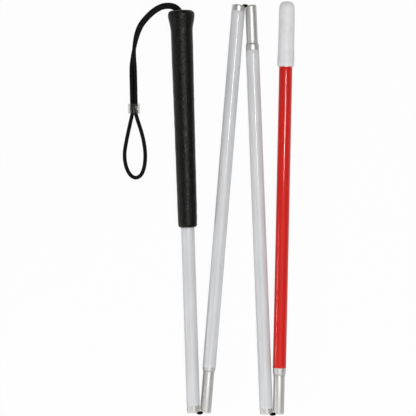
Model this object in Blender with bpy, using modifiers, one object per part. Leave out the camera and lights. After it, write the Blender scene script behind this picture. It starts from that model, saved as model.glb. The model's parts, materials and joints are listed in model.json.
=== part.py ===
"""A folding cane for a blind walker, folded into its four sections and laid flat.

World axes: +X to the right and +Y towards the grip's head as the cane lies, +Z up from the
table. The origin is under the middle of the folded cane, on the table.
Every section is built along its own +Z, which runs up the folded cane towards the head, and
is hung from an empty that stands on the fold that the section turns about.
"""

import math

import bmesh
import bpy
from mathutils import Matrix, Vector

MM = 0.001

# Tubes, their joints and the tape on them, in millimetres
SIDES = 32
TUBE_RADIUS = 4.9
TUBE_BORE = 4.3
INSERT_RADIUS = 4.25
INSERT_BORE = 3.65
INSERT_HELD = 30.0
TAPE_INSIDE = 4.98
TAPE_RADIUS = 5.1
ROLLED_LENGTH = 2.6
ROLLED_RADIUS = 4.55
RIM_ROUNDING = 0.3
FIT_GAP = 0.3

# The four sections, head end first: length, lean from +Y towards +X in degrees
HANDLE_LENGTH, HANDLE_LEAN = 307.6, -1.75
SECTION_2_LENGTH, SECTION_2_LEAN = 313.6, 4.66
SECTION_3_LENGTH, SECTION_3_LEAN = 313.5, -2.18
TIP_LENGTH, TIP_LEAN = 316.0, 1.20

# How far each insert stands out of its tube, and the bare stretches beside the tape
SECTION_2_INSERT = 31.4
SECTION_3_INSERT = 28.6
TIP_INSERT = 29.2
HANDLE_BARE_END = 5.7
HANDLE_BARE_UNDER_GRIP = 1.7
SECTION_2_BARE = (3.0, 4.7)
SECTION_3_BARE = (4.4, 6.0)
TIP_BARE = 6.0

# Neighbouring tube ends lie side by side with this much between their walls
FOLD_GAP = 0.12
FOLD_SPACING = TUBE_RADIUS + INSERT_RADIUS + FOLD_GAP
FOLD_1_AT = (-24.5, -156.4)

# Rubber grip, measured from the top of its head
GRIP_LENGTH = 166.6
HEAD_RADIUS = 10.15
HEAD_CORNER = 3.0
HEAD_DEPTH = 4.0
NECK_DEPTH = 16.0
NECK_RADIUS = 8.36
GRIP_END_RADIUS = 7.32
GRIP_LIP = 2.2
GRIP_BORE = 5.0
MOUTH_RADIUS = 7.0
THROAT_RADIUS = 3.9
MOUTH_DEPTH = 3.0
THROAT_DEPTH = 4.0

# Plugs, knots and the elastic that runs through all four tubes
PLUG_FLANGE = 1.5
PLUG_SHANK = 8.3
PLUG_SHANK_RADIUS = 4.2
PLUG_HOLE = 1.5
ELASTIC_RADIUS = 1.2
ELASTIC_RIM_RADIUS = 0.85
ELASTIC_TURN_RADIUS = 0.75
ELASTIC_LEG = 35.0
ELASTIC_KNOT = (3.2, 4.0)
CORD_KNOT = (4.6, 6.0)
CORD_KNOT_DEPTH = 6.7

# Pencil tip, measured from its outer end
TIP_PIECE_LENGTH = 50.0
TIP_END_CORNER = 5.0
TIP_RADIUS = 6.02
TIP_BASE_RADIUS = 6.52
TIP_LIP = 1.5
TIP_BORE = 5.0
TIP_SOLID = 9.0
TIP_TUBE_DEPTH = 34.0

# Wrist cord and the clear slider on it
CORD_RADIUS = 1.5
STRAND_SPACING = 3.2
SLIDER_WIDTH = 9.1
SLIDER_HEIGHT = 5.4
SLIDER_LENGTH = 7.6
SLIDER_CORNER = 2.4
SLOT_WIDTH = 6.9
SLOT_HEIGHT = 3.6
SLIDER_AT = (-74.75, 76.6)

# The doubled cord from the knot in the grip to the slider: x, y, z of the middle of the two
# strands, and the angle that one strand has turned over the other. They cross once.
PAIR_ROUTE = [
    (-38.4, 145.2, 10.05, 48),
    (-38.8, 148.3, 10.1, 50),
    (-40.5, 151.4, 10.1, 52),
    (-42.9, 153.5, 9.95, 54),
    (-46.0, 154.7, 9.6, 56),
    (-52.3, 154.6, 8.5, 57),
    (-58.5, 151.7, 7.0, 57),
    (-64.2, 146.9, 5.3, 57),
    (-69.4, 140.6, 4.0, 58),
    (-72.2, 134.1, 3.5, 64),
    (-73.7, 128.0, 3.35, 79),
    (-74.8, 121.2, 3.35, 97),
    (-75.3, 114.0, 3.2, 128),
    (-75.4, 108.0, 3.0, 160),
    (-75.3, 101.9, 2.9, 180),
    (-75.15, 95.0, 2.85, 180),
    (-75.0, 88.0, 2.85, 180),
    (-74.8, 79.0, 2.85, 180),
    (-74.7, 72.4, 2.8, 180),
]
# The loop past the slider, down its right side and up its left, x, y and z
LOOP_ROUTE = [
    (-71.9, 67.6, 2.3),
    (-69.6, 60.5, 1.7),
    (-67.6, 52.8, 1.55),
    (-66.4, 45.1, 1.55),
    (-66.2, 38.5, 1.55),
    (-67.2, 31.0, 1.55),
    (-69.6, 25.6, 1.55),
    (-73.1, 23.6, 1.55),
    (-76.6, 24.9, 1.55),
    (-79.6, 29.0, 1.55),
    (-81.6, 35.6, 1.55),
    (-82.0, 42.6, 1.55),
    (-80.5, 52.5, 1.55),
    (-78.8, 60.5, 1.7),
    (-77.2, 67.6, 2.3),
]
PAIR_STEP = 4.6
LOOP_STEP = 6.0


# Working values, in metres from here on

def lean_direction(lean, rise=0.0):
    """The way up a section that leans from +Y towards +X and climbs towards its upper end."""
    a, b = math.radians(lean), math.radians(rise)
    return Vector((math.sin(a) * math.cos(b), math.cos(a) * math.cos(b), math.sin(b)))


def fold_side(left, right):
    """Unit vector from one folded section's end to the next, square to the line between them."""
    side = (left + right).normalized().cross(left.cross(right).normalized())
    return side if side.x > 0 else -side


def flat_radius(radius):
    """How far the middle of a facet of a turned piece lies from its axis."""
    return radius * math.cos(math.pi / SIDES)


def lay_out_sections():
    """Where the folded sections lie: {section: (lower end, direction)} and the three folds."""
    table = flat_radius(TAPE_RADIUS) * MM
    second, third = lean_direction(SECTION_2_LEAN), lean_direction(SECTION_3_LEAN)
    half = FOLD_SPACING / 2 * MM
    tip_ring = (TIP_LENGTH - TIP_PIECE_LENGTH + TIP_LIP) * MM
    head_ring = (HANDLE_LENGTH - HEAD_DEPTH) * MM
    handle, tip = lean_direction(HANDLE_LEAN), lean_direction(TIP_LEAN)
    # The grip's head and the tip's lip are thicker than the tubes, so both sections climb
    # until these rest on the table, which a few rounds settle.
    for _ in range(12):
        head_lift = flat_radius(HEAD_RADIUS) * MM - table - 2 * half * -fold_side(handle, second).z
        tip_lift = flat_radius(TIP_BASE_RADIUS) * MM - table - 2 * half * fold_side(third, tip).z
        handle = lean_direction(HANDLE_LEAN, math.degrees(math.asin(head_lift / head_ring)))
        tip = lean_direction(TIP_LEAN, math.degrees(math.asin(tip_lift / tip_ring)))
    side_1, side_2, side_3 = fold_side(handle, second), fold_side(second, third), fold_side(third, tip)
    start_2 = Vector((FOLD_1_AT[0] * MM, FOLD_1_AT[1] * MM, 0)) + half * side_1
    start_2.z = table
    fold_1 = start_2 - half * side_1
    fold_2 = start_2 + SECTION_2_LENGTH * MM * second + half * side_2
    start_3 = fold_2 + half * side_2 - SECTION_3_LENGTH * MM * third
    fold_3 = start_3 + half * side_3
    ends = {
        "handle_section": (fold_1 - half * side_1, handle),
        "section_2": (start_2, second),
        "section_3": (start_3, third),
        "tip_section": (fold_3 + half * side_3, tip),
    }
    return ends, [(fold_1, side_1), (fold_2, side_2), (fold_3, side_3)]


def axes_along(direction):
    """Rotation whose Z runs along direction and whose Y is as near to the world's up as it can be."""
    up = Vector((0, 0, 1))
    y = (up - up.dot(direction) * direction).normalized()
    return Matrix((y.cross(direction), y, direction)).transposed().to_4x4()


def smooth_through(points, step, before=None, after=None):
    """Points about step apart on the centripetal curve through the given ones, ends included.

    before and after are the points that the curve comes from and goes on to, where it has any.
    """
    points = [Vector(p) for p in points]
    before = before or 2 * points[0] - points[1]
    after = after or 2 * points[-1] - points[-2]
    padded = [before, *points, after]
    dense = []
    for p0, p1, p2, p3 in zip(padded, padded[1:], padded[2:], padded[3:]):
        t1 = (p1 - p0).length ** 0.5
        t2 = t1 + (p2 - p1).length ** 0.5
        t3 = t2 + (p3 - p2).length ** 0.5
        for i in range(16):
            t = t1 + (t2 - t1) * i / 16
            a1 = p0.lerp(p1, t / t1)
            a2 = p1.lerp(p2, (t - t1) / (t2 - t1))
            a3 = p2.lerp(p3, (t - t2) / (t3 - t2))
            b1 = a1.lerp(a2, t / t2)
            b2 = a2.lerp(a3, (t - t1) / (t3 - t1))
            dense.append(b1.lerp(b2, (t - t1) / (t2 - t1)))
    dense.append(points[-1])
    total = sum((q - p).length for p, q in zip(dense, dense[1:]))
    count = max(2, round(total / step))
    out, walked, target = [dense[0]], 0.0, total / count
    for p, q in zip(dense, dense[1:]):
        length = (q - p).length
        while walked + length >= target and len(out) < count:
            out.append(p.lerp(q, (target - walked) / length))
            target += total / count
        walked += length
    return [*out, dense[-1]]


# Making pieces

def clear_scene():
    for obj in list(bpy.data.objects):
        bpy.data.objects.remove(obj, do_unlink=True)


def material(name, colour, roughness, metallic=0.0, alpha=1.0):
    mat = bpy.data.materials.new(name)
    mat.use_nodes = True
    shader = mat.node_tree.nodes["Principled BSDF"]
    shader.inputs["Base Color"].default_value = (*colour, 1.0)
    shader.inputs["Roughness"].default_value = roughness
    shader.inputs["Metallic"].default_value = metallic
    shader.inputs["Alpha"].default_value = alpha
    return mat


def make_materials():
    return {
        "rubber": material("black_rubber", (0.02, 0.02, 0.021), 0.75),
        "aluminium": material("aluminium", (0.80, 0.79, 0.77), 0.3, metallic=1.0),
        "white_tape": material("silver_white_reflective_tape", (0.70, 0.71, 0.72), 0.4),
        "red_tape": material("red_reflective_tape", (0.63, 0.03, 0.02), 0.3),
        "nylon": material("white_nylon", (0.72, 0.72, 0.74), 0.45),
        "plug": material("black_plastic", (0.02, 0.02, 0.02), 0.5),
        "elastic": material("black_elastic", (0.01, 0.01, 0.01), 0.8),
        "cord": material("black_cord", (0.01, 0.01, 0.01), 0.7),
        "clear": material("clear_plastic", (0.85, 0.86, 0.84), 0.1, alpha=0.4),
    }


def empty(name, at, rotation, collection):
    obj = bpy.data.objects.new(name, None)
    obj.empty_display_size = 0.01
    obj.matrix_world = Matrix.Translation(at) @ rotation
    collection.objects.link(obj)
    return obj


class Section:
    """One folded section: pieces are placed by their height on its axis, in millimetres."""

    def __init__(self, name, lower_end, direction, hinge, collection):
        self.start, self.axes = lower_end, axes_along(direction)
        self.frame = empty(name, hinge, self.axes, collection)
        self.collection = collection

    def add(self, obj, mat):
        obj.data.materials.append(mat)
        self.collection.objects.link(obj)
        obj.parent = self.frame
        obj.location = self.axes.to_3x3().transposed() @ (self.start - self.frame.matrix_world.translation)
        return obj


def turned(name, profile, closed=True):
    """A turned piece from (radius, height) points in millimetres, outer side first, downwards."""
    half = math.pi / SIDES
    bm = bmesh.new()
    verts = [bm.verts.new((r * math.cos(half) * MM, r * math.sin(half) * MM, z * MM)) for r, z in profile]
    for a, b in zip(verts, verts[1:]):
        bm.edges.new((a, b))
    if closed:
        bm.edges.new((verts[-1], verts[0]))
    mesh = bpy.data.meshes.new(name)
    bm.to_mesh(mesh)
    bm.free()
    obj = bpy.data.objects.new(name, mesh)
    screw = obj.modifiers.new("Turn", "SCREW")
    screw.axis = "Z"
    screw.steps = screw.render_steps = SIDES
    screw.use_merge_vertices = True
    screw.merge_threshold = 0.00001
    return obj


def arc(centre, radius, start, stop, steps):
    """(radius, height) points on part of a circle, angles in degrees from the outward direction."""
    angles = [math.radians(start + (stop - start) * i / steps) for i in range(steps + 1)]
    return [(centre[0] + radius * math.cos(a), centre[1] + radius * math.sin(a)) for a in angles]


def cord_curve(name, points, radius, thickness=None):
    """A round cord along world or section points in metres; thickness scales the radius."""
    curve = bpy.data.curves.new(name, "CURVE")
    curve.dimensions = "3D"
    curve.bevel_depth = radius * MM
    curve.bevel_resolution = 2
    curve.use_fill_caps = True
    spline = curve.splines.new("POLY")
    spline.points.add(len(points) - 1)
    for i, point in enumerate(points):
        spline.points[i].co = (*point, 1.0)
        spline.points[i].radius = thickness[i] if thickness else 1.0
    return bpy.data.objects.new(name, curve)


# The tubes and what is on them

def tube_rim(at, up, rolled):
    """A tube's outer rim: softened, or drawn in where the tube is rolled onto its insert."""
    steps = 4 if rolled else 2
    reach = ROLLED_LENGTH if rolled else RIM_ROUNDING
    end_radius = ROLLED_RADIUS if rolled else TUBE_RADIUS - RIM_ROUNDING
    points = []
    for i in range(steps + 1):
        a = math.radians(90 * i / steps)
        radius = end_radius + (TUBE_RADIUS - end_radius) * math.cos(a)
        depth = reach * (1 - math.sin(a))
        points.append((radius, at - depth if up else at + depth))
    return points[::-1] if up else points


def main_tube(name, low, high, rolled=None):
    """One of the four main tubes; rolled names the end, low or high, that holds an insert."""
    top = tube_rim(high, True, rolled == "high")
    bottom = tube_rim(low, False, rolled == "low")
    return turned(name, [*top, *bottom, (TUBE_BORE, low), (TUBE_BORE, high)])


def insert_tube(name, end, inner_end):
    """The thin tube that plugs into the next section. Its outer end is eased to find the bore."""
    lead, ease = 1.4, 0.35
    low, high = min(end, inner_end), max(end, inner_end)
    up = end > inner_end
    top_radius = INSERT_RADIUS - (ease if up else 0)
    low_radius = INSERT_RADIUS - (0 if up else ease)
    profile = [(top_radius, high), (INSERT_RADIUS, high - lead), (INSERT_RADIUS, low + lead), (low_radius, low)]
    return turned(name, [*profile, (INSERT_BORE, low), (INSERT_BORE, high)])


def tape_sleeve(name, low, high):
    return turned(name, [(TAPE_RADIUS, high), (TAPE_RADIUS, low), (TAPE_INSIDE, low), (TAPE_INSIDE, high)])


def end_plug(name, rim, outwards):
    """A plug in a tube's far end: its flange covers the rim and the elastic runs through it."""
    flange = rim + FIT_GAP
    profile = [
        (TUBE_RADIUS, flange + PLUG_FLANGE),
        (TUBE_RADIUS, flange),
        (PLUG_SHANK_RADIUS, flange),
        (PLUG_SHANK_RADIUS, flange - PLUG_SHANK + 0.6),
        (PLUG_SHANK_RADIUS - 0.5, flange - PLUG_SHANK),
        (PLUG_HOLE, flange - PLUG_SHANK),
        (PLUG_HOLE, flange + PLUG_FLANGE),
    ]
    return turned(name, profile), flange + PLUG_FLANGE + outwards


def knot(name, low, size):
    """A pulled-tight knot as a plain rounded lump."""
    radius, length = size
    middle = low + length / 2
    steps = 6
    profile = []
    for i in range(steps + 1):
        a = math.radians(90 - 180 * i / steps)
        profile.append((radius * math.cos(a) ** 0.6 if 0 < i < steps else 0.0, middle + length / 2 * math.sin(a)))
    return turned(name, profile, closed=False)


def grip():
    """The rubber grip: flared head, long taper and a soft lip, with a mouth for the wrist cord."""
    top = HANDLE_LENGTH

    def at(depth, radius):
        return radius, top - depth

    corner = [at(HEAD_CORNER - z, r) for r, z in arc((HEAD_RADIUS - HEAD_CORNER, 0), HEAD_CORNER, 90, 0, 5)]
    neck_steps = 7
    neck = []
    for i in range(neck_steps + 1):
        t = i / neck_steps
        depth = HEAD_DEPTH + (NECK_DEPTH - HEAD_DEPTH) * t
        neck.append(at(depth, HEAD_RADIUS - (HEAD_RADIUS - NECK_RADIUS) * (1 - math.cos(math.pi * t)) / 2))
    body = []
    for i in range(1, 5):
        t = i / 4
        depth = NECK_DEPTH + (GRIP_LENGTH - GRIP_LIP - NECK_DEPTH) * t
        body.append(at(depth, NECK_RADIUS + (GRIP_END_RADIUS - NECK_RADIUS) * t))
    lip_centre = (GRIP_END_RADIUS - GRIP_LIP, top - GRIP_LENGTH + GRIP_LIP)
    lip = arc(lip_centre, GRIP_LIP, 0, -90, 4)[1:]
    inside = [
        at(GRIP_LENGTH, GRIP_BORE),
        at(THROAT_DEPTH, GRIP_BORE),
        at(THROAT_DEPTH, THROAT_RADIUS),
        at(MOUTH_DEPTH, THROAT_RADIUS),
        at(0, MOUTH_RADIUS),
    ]
    return turned("handle_grip", [*corner, *neck, *body, *lip[:-1], *inside])


def pencil_tip():
    """The moulded tip: blunt rounded end, slight taper and a thicker lip, bored for the tube."""
    end = TIP_LENGTH
    base = end - TIP_PIECE_LENGTH
    dome = []
    for i in range(7):
        a = math.radians(90 - 90 * i / 6)
        dome.append((TIP_RADIUS * math.cos(a) ** 0.7, end - TIP_END_CORNER * (1 - math.sin(a) ** 1.2)))
    dome[0] = (0.0, end)
    swell = [(TIP_RADIUS + (TIP_BASE_RADIUS - TIP_RADIUS) * t * t, end - 14 - (TIP_PIECE_LENGTH - 14 - TIP_LIP) * t)
             for t in (0.0, 0.35, 0.7, 1.0)]
    lip = arc((TIP_BASE_RADIUS - TIP_LIP, base + TIP_LIP), TIP_LIP, 0, -75, 3)[1:]
    inside = [(TIP_BORE, base), (TIP_BORE, end - TIP_SOLID), (0.0, end - TIP_SOLID)]
    return turned("pencil_tip", [*dome, *swell, *lip, *inside], closed=False)


# The elastic

def straight_elastic(name, low, high):
    return cord_curve(name, [(0, 0, low * MM), (0, 0, high * MM)], ELASTIC_RADIUS)


def elastic_fold(name, fold, side, socket, insert):
    """The elastic where it turns from one tube's bore, over both rims, into the next insert."""
    outwards = (socket[1] + insert[1]).normalized() * (-1 if socket[2] else 1)
    left_wall = -FOLD_SPACING / 2 + TUBE_BORE
    right_wall = FOLD_SPACING / 2 - INSERT_BORE
    inset = 0.2 + ELASTIC_RIM_RADIUS
    left, right = left_wall - inset, right_wall + inset
    middle, reach = (left + right) / 2, (right - left) / 2
    turn = 0.85
    points, thickness = [], []

    def add(x, y, radius):
        points.append((side * x + outwards * y) * MM)
        thickness.append(radius / ELASTIC_RADIUS)

    def leg(end, direction, near, depths):
        for depth in depths:
            drawn = depth / ELASTIC_LEG
            on_axis = end[0] - fold + direction * depth * MM
            offset = (near - end[2]) * (1 - drawn) * MM
            points.append(on_axis + side * offset)
            radius = ELASTIC_RIM_RADIUS + (ELASTIC_RADIUS - ELASTIC_RIM_RADIUS) * min(1, depth / 8)
            thickness.append(radius / ELASTIC_RADIUS)

    inward_left = socket[1] if socket[2] else -socket[1]
    inward_right = insert[1] if socket[2] else -insert[1]
    leg((socket[0], None, -FOLD_SPACING / 2), inward_left, left, (35, 24, 14, 8, 4, 2))
    for i in range(9):
        a = math.radians(180 - 180 * i / 8)
        flat = abs(math.sin(a)) ** 0.8
        radius = ELASTIC_RIM_RADIUS + (ELASTIC_TURN_RADIUS - ELASTIC_RIM_RADIUS) * flat
        add(middle + reach * math.cos(a), turn * flat - 0.1, radius)
    leg((insert[0], None, FOLD_SPACING / 2), inward_right, right, (2, 4, 8, 14, 24, 35))
    obj = cord_curve(name, points, ELASTIC_RADIUS, thickness)
    obj.location = fold
    return obj


# The wrist cord

def strands():
    """The two strands from the grip to the slider, side by side about the middle of the pair."""
    route = [(x, y, z, math.radians(turned_by)) for x, y, z, turned_by in PAIR_ROUTE]
    middle = smooth_through(route, PAIR_STEP)
    first, second = [], []
    for i, station in enumerate(middle):
        before, after = middle[max(i - 1, 0)], middle[min(i + 1, len(middle) - 1)]
        along = Vector((after.x - before.x, after.y - before.y, 0)).normalized()
        across = along.cross(Vector((0, 0, 1)))
        offset = math.cos(station.w) * across + math.sin(station.w) * Vector((0, 0, 1))
        first.append(station.xyz + offset * STRAND_SPACING / 2)
        second.append(station.xyz - offset * STRAND_SPACING / 2)
    return first, second


def wrist_cord_route():
    first, second = strands()
    loop = smooth_through([first[-1], *LOOP_ROUTE, second[-1]], LOOP_STEP, first[-2], second[-2])
    return [p * MM for p in (*first[:-1], *loop, *reversed(second[:-1]))]


def rounded_outline(width, height, corner, steps):
    """Corner points of a flat outline with round corners, anticlockwise, in metres."""
    out = []
    for k, (sx, sy) in enumerate(((1, 1), (-1, 1), (-1, -1), (1, -1))):
        cx, cy = sx * (width / 2 - corner), sy * (height / 2 - corner)
        for i in range(steps + 1):
            a = math.radians(90 * k + 90 * i / steps)
            out.append(((cx + corner * math.cos(a)) * MM, (cy + corner * math.sin(a)) * MM))
    return out


def cord_slider():
    """A flattened clear bead with one slot for both strands, as a flat outline with thickness."""
    curve = bpy.data.curves.new("cord_slider", "CURVE")
    curve.dimensions = "2D"
    curve.fill_mode = "BOTH"
    curve.extrude = SLIDER_LENGTH / 2 * MM
    for outline in (
        rounded_outline(SLIDER_WIDTH, SLIDER_HEIGHT, SLIDER_CORNER, 4),
        rounded_outline(SLOT_WIDTH, SLOT_HEIGHT, SLOT_HEIGHT / 2 - 0.01, 4),
    ):
        spline = curve.splines.new("POLY")
        spline.points.add(len(outline) - 1)
        for point, (x, y) in zip(spline.points, outline):
            point.co = (x, y, 0, 1)
        spline.use_cyclic_u = True
    return bpy.data.objects.new("cord_slider", curve)


# Assembly

def build_handle(section, mats):
    grip_low = HANDLE_LENGTH - GRIP_LENGTH
    knot_low = HANDLE_LENGTH - CORD_KNOT_DEPTH - CORD_KNOT[1]
    elastic_knot_low = knot_low - FIT_GAP - ELASTIC_KNOT[1]
    tube_top = elastic_knot_low - FIT_GAP - PLUG_FLANGE - FIT_GAP
    plug, _ = end_plug("handle_end_plug", tube_top, 0)
    section.add(main_tube("handle_tube", 0, tube_top), mats["aluminium"])
    section.add(tape_sleeve("handle_tape", HANDLE_BARE_END, grip_low - HANDLE_BARE_UNDER_GRIP), mats["white_tape"])
    section.add(grip(), mats["rubber"])
    section.add(plug, mats["plug"])
    section.add(knot("elastic_handle_knot", elastic_knot_low, ELASTIC_KNOT), mats["elastic"])
    section.add(knot("wrist_cord_knot", knot_low, CORD_KNOT), mats["cord"])
    elastic = straight_elastic("elastic_in_handle", ELASTIC_LEG + FIT_GAP, elastic_knot_low - FIT_GAP)
    section.add(elastic, mats["elastic"])


def build_section_2(section, mats):
    low = SECTION_2_INSERT
    section.add(insert_tube("section_2_insert", 0, low + INSERT_HELD), mats["aluminium"])
    section.add(main_tube("section_2_tube", low, SECTION_2_LENGTH, rolled="low"), mats["aluminium"])
    tape = tape_sleeve("section_2_tape", low + SECTION_2_BARE[0], SECTION_2_LENGTH - SECTION_2_BARE[1])
    section.add(tape, mats["white_tape"])
    inner = ELASTIC_LEG + FIT_GAP
    section.add(straight_elastic("elastic_in_section_2", inner, SECTION_2_LENGTH - inner), mats["elastic"])


def build_section_3(section, mats):
    high = SECTION_3_LENGTH - SECTION_3_INSERT
    section.add(insert_tube("section_3_insert", SECTION_3_LENGTH, high - INSERT_HELD), mats["aluminium"])
    section.add(main_tube("section_3_tube", 0, high, rolled="high"), mats["aluminium"])
    section.add(tape_sleeve("section_3_tape", SECTION_3_BARE[0], high - SECTION_3_BARE[1]), mats["white_tape"])
    inner = ELASTIC_LEG + FIT_GAP
    section.add(straight_elastic("elastic_in_section_3", inner, SECTION_3_LENGTH - inner), mats["elastic"])


def build_tip_section(section, mats):
    low = TIP_INSERT
    base = TIP_LENGTH - TIP_PIECE_LENGTH
    tube_top = base + TIP_TUBE_DEPTH
    plug, knot_low = end_plug("tip_anchor_plug", tube_top, FIT_GAP)
    section.add(insert_tube("tip_section_insert", 0, low + INSERT_HELD), mats["aluminium"])
    section.add(main_tube("tip_section_tube", low, tube_top, rolled="low"), mats["aluminium"])
    section.add(tape_sleeve("tip_section_tape", low + TIP_BARE, base - FIT_GAP), mats["red_tape"])
    section.add(pencil_tip(), mats["nylon"])
    section.add(plug, mats["plug"])
    section.add(knot("elastic_tip_knot", knot_low, ELASTIC_KNOT), mats["elastic"])
    elastic = straight_elastic("elastic_in_tip_section", ELASTIC_LEG + FIT_GAP, knot_low - FIT_GAP)
    section.add(elastic, mats["elastic"])


def add_loose(obj, mat, collection):
    obj.data.materials.append(mat)
    collection.objects.link(obj)


def main():
    clear_scene()
    mats = make_materials()
    cane = bpy.data.collections.new("folding_cane")
    bpy.context.scene.collection.children.link(cane)
    ends, folds = lay_out_sections()
    hinges = {
        "handle_section": ends["handle_section"][0],
        "section_2": folds[0][0],
        "section_3": folds[1][0],
        "tip_section": folds[2][0],
    }
    sections = {name: Section(name, *ends[name], hinges[name], cane) for name in ends}
    build_handle(sections["handle_section"], mats)
    build_section_2(sections["section_2"], mats)
    build_section_3(sections["section_3"], mats)
    build_tip_section(sections["tip_section"], mats)

    handle, second, third, tip = (ends[k] for k in ("handle_section", "section_2", "section_3", "tip_section"))
    second_top = second[0] + second[1] * SECTION_2_LENGTH * MM
    third_top = third[0] + third[1] * SECTION_3_LENGTH * MM
    turns = [
        ("elastic_fold_1", *folds[0], (*handle, True), second),
        ("elastic_fold_2", *folds[1], (second_top, second[1], False), (third_top, third[1])),
        ("elastic_fold_3", *folds[2], (*third, True), tip),
    ]
    for name, fold, side, socket, insert in turns:
        add_loose(elastic_fold(name, fold, side, socket, insert), mats["elastic"], cane)

    add_loose(cord_curve("wrist_cord", wrist_cord_route(), CORD_RADIUS), mats["cord"], cane)
    slider = cord_slider()
    slider.matrix_world = Matrix.Translation((SLIDER_AT[0] * MM, SLIDER_AT[1] * MM, 2.85 * MM)) @ axes_along(
        Vector((-0.02, 1, 0)).normalized()
    )
    add_loose(slider, mats["clear"], cane)
    bpy.context.view_layer.update()


if __name__ == "__main__":
    main()
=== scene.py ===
"""Dresses a folding white cane, lying folded on a pale table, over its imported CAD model.

World axes are the CAD model's: +X to the right, +Y towards the grip's head, +Z up from the table.
Each section is built along its own +Z and then laid in place, so every mesh keeps its place in
its vertices. The "own_place" attribute remembers where a point was before that, in metres along
the section, for patterns that follow the tube.
"""

import json
import math

import bmesh
import bpy
from bpy.props import FloatProperty, FloatVectorProperty, IntProperty, PointerProperty
from mathutils import Matrix, Vector, noise


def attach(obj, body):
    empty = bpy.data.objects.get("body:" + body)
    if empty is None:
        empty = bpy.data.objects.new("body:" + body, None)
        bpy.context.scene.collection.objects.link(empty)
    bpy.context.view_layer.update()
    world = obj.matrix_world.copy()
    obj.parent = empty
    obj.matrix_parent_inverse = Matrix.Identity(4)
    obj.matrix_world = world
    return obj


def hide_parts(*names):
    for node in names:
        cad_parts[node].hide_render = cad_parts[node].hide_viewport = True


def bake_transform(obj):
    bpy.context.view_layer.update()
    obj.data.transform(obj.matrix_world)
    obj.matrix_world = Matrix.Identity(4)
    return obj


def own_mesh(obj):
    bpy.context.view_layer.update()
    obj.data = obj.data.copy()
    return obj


bl_info = {
    "name": "Folded white cane",
    "version": (1, 0, 0),
    "blender": (4, 5, 0),
    "location": "3D View > Sidebar > White Cane",
    "description": "Builds a folding white cane as it lies folded, with its finishes and a small studio",
    "category": "Add Mesh",
}

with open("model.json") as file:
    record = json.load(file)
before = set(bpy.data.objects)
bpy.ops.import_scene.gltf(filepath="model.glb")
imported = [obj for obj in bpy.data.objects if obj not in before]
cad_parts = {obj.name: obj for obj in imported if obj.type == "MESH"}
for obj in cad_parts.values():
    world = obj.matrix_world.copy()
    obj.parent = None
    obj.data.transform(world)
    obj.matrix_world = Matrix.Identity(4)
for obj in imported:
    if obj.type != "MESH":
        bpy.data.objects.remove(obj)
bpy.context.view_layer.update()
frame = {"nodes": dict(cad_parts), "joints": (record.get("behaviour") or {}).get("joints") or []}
JOINTS = {joint["name"]: joint for joint in frame["joints"]}
MM = 0.001

# Each section's lower end and the way up it, in metres, and its length in millimetres
SECTIONS = {
    "handle_section": ((-0.029102, -0.156287, 0.006148), (-0.030536, 0.999449, 0.013022), 307.6),
    "section_2": ((-0.019898, -0.156513, 0.005075), (0.081243, 0.996694, 0.0), 313.6),
    "section_3": ((0.026773, -0.157424, 0.005075), (-0.038039, 0.999276, 0.0), 313.5),
    "tip_section": ((0.036028, -0.157345, 0.005597), (0.020942, 0.999775, 0.003324), 316.0),
}
# Which sections meet at each fold, whether it lies at their lower or upper ends, and how far the
# elastic's middle lies outside the rims there, in millimetres
FOLDS = {
    "fold_1": ("handle_section", "section_2", "lower", 0.2),
    "fold_2": ("section_2", "section_3", "upper", -0.6),
    "fold_3": ("section_3", "tip_section", "lower", 0.2),
}
# How far a socket's rim and an insert's end dip on the side where the elastic lies over them, and
# how far along the tube the dip runs out, in millimetres
SOCKET_DIP, INSERT_DIP, DIP_LENGTH = 1.0, 1.8, 5
# Inside radius of the inserts, the elastic's full radius, and how far the part of it that bends at
# a fold reaches into either tube, in millimetres
INSERT_BORE = 3.65
ELASTIC_RADIUS = 1.2
ELASTIC_REACH = 35

# A tube's end where it is rolled onto its insert, depth from the end and radius, in millimetres
ROLLED_RIM = [(0.0, 4.4), (0.1, 4.56), (0.3, 4.62), (0.55, 4.5), (0.85, 4.36), (1.15, 4.5), (1.5, 4.74), (2.0, 4.87)]

# Grip outline, depth below the top of its head and radius, in millimetres
GRIP_OUTLINE = [
    (3.0, 10.12), (4.4, 10.14), (6.6, 9.86), (9.2, 9.3), (12.2, 8.72), (15.6, 8.38), (20.0, 8.34), (30.9, 8.3),
    (53.9, 8.1), (69.2, 7.96), (84.5, 7.86), (99.9, 7.74), (115.2, 7.65), (130.5, 7.57), (145.8, 7.46),
    (158.0, 7.36), (162.0, 7.27),
]
# Pencil tip outline, depth below its outer end and radius
TIP_OUTLINE = [
    (0.0, 0.0), (0.15, 2.0), (0.55, 3.4), (1.3, 4.5), (2.5, 5.3), (4.2, 5.78), (6.6, 5.99), (10.0, 6.03),
    (18.0, 6.07), (26.0, 6.13), (34.0, 6.25), (41.0, 6.4), (46.0, 6.5), (48.2, 6.52),
]

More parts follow.
